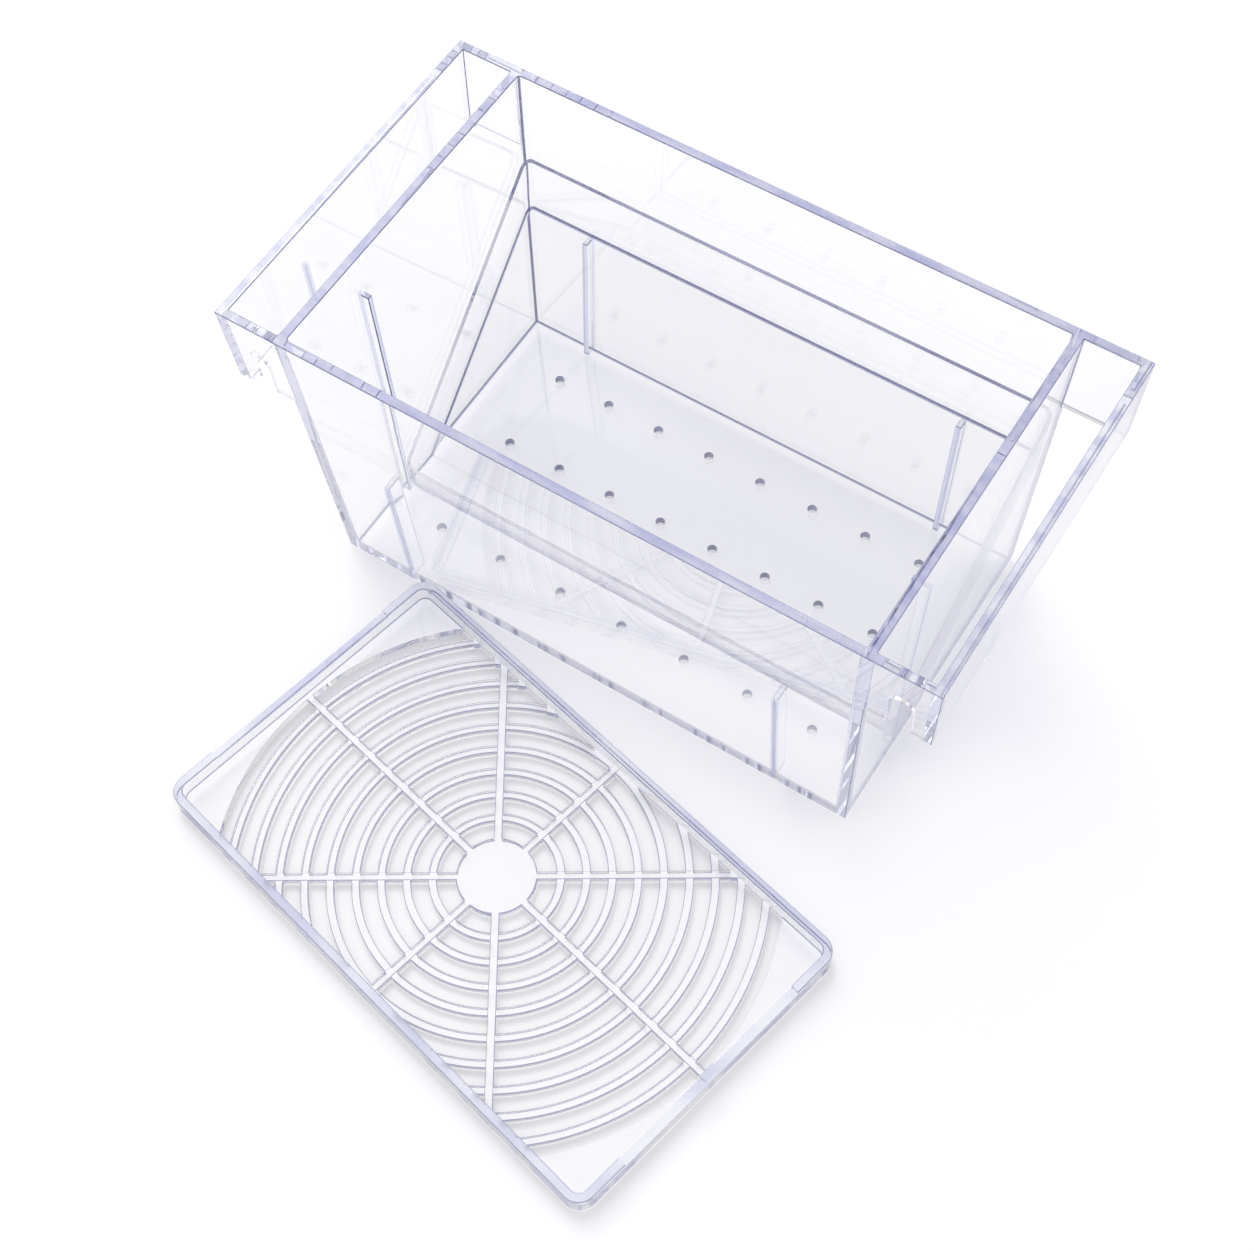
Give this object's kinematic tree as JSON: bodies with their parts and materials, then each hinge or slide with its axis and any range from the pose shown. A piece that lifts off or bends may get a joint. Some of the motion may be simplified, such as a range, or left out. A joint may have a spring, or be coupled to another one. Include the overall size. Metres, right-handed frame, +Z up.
{
  "type": "fish breeding box",
  "caption": "Clear open-topped breeding box with a hook at each end, notched front arms, a sloping insert inside and a loose rimmed grille plate of concentric rings.",
  "frame": {"origin": "centre of the underside of the box, on the surface it stands on", "axes": "+X along the length of the box towards its right hook, +Z up, -Y towards the front, where the grille plate lies"},
  "size_m": [0.2, 0.2215, 0.098],
  "materials": {
    "clear_box": "clear polystyrene, polished, with a faint lavender edge tint",
    "clear_insert": "clear polystyrene, polished",
    "clear_grille": "clear polystyrene, polished"
  },
  "bodies": {
    "box": {"front_wall": "clear_box", "back_wall": "clear_box", "left_end_wall": "clear_box", "right_end_wall": "clear_box", "floor_panel": "clear_box", "left_front_arm": "clear_box", "left_back_arm": "clear_box", "right_front_arm": "clear_box", "right_back_arm": "clear_box", "left_hook_plate": "clear_box", "right_hook_plate": "clear_box", "back_left_rib": "clear_box", "back_right_rib": "clear_box", "front_left_rib": "clear_box", "front_right_rib": "clear_box", "left_stop_rib": "clear_box", "right_stop_rib": "clear_box"},
    "insert": {"slope_plate": "clear_insert", "slope_foot": "clear_insert", "slope_back_edge": "clear_insert", "slope_front_edge": "clear_insert", "slope_left_side": "clear_insert", "slope_right_side": "clear_insert"},
    "grille_plate": {"front_rail": "clear_grille", "back_rail": "clear_grille", "left_rail": "clear_grille", "right_rail": "clear_grille", "rail_catch": "clear_grille", "left_end_web": "clear_grille", "right_end_web": "clear_grille", "centre_disc": "clear_grille", "ring_1": "clear_grille", "ring_2": "clear_grille", "ring_3": "clear_grille", "ring_4": "clear_grille", "ring_5": "clear_grille", "ring_6": "clear_grille", "ring_7": "clear_grille", "ring_8": "clear_grille", "ring_9": "clear_grille", "spoke_right": "clear_grille", "spoke_back_right": "clear_grille", "spoke_back": "clear_grille", "spoke_back_left": "clear_grille", "spoke_left": "clear_grille", "spoke_front_left": "clear_grille", "spoke_front": "clear_grille", "spoke_front_right": "clear_grille"}
  },
  "joints": [
    {"name": "insert_lift", "type": "slide", "parent": "box", "child": "insert", "axis": [0, 0, 1], "range_m": [0, 0.11]},
    {"name": "grille_lift", "type": "slide", "parent": "box", "child": "grille_plate", "axis": [0, -0.6, 0.8], "range_m": [0, 0.12]}
  ]
}
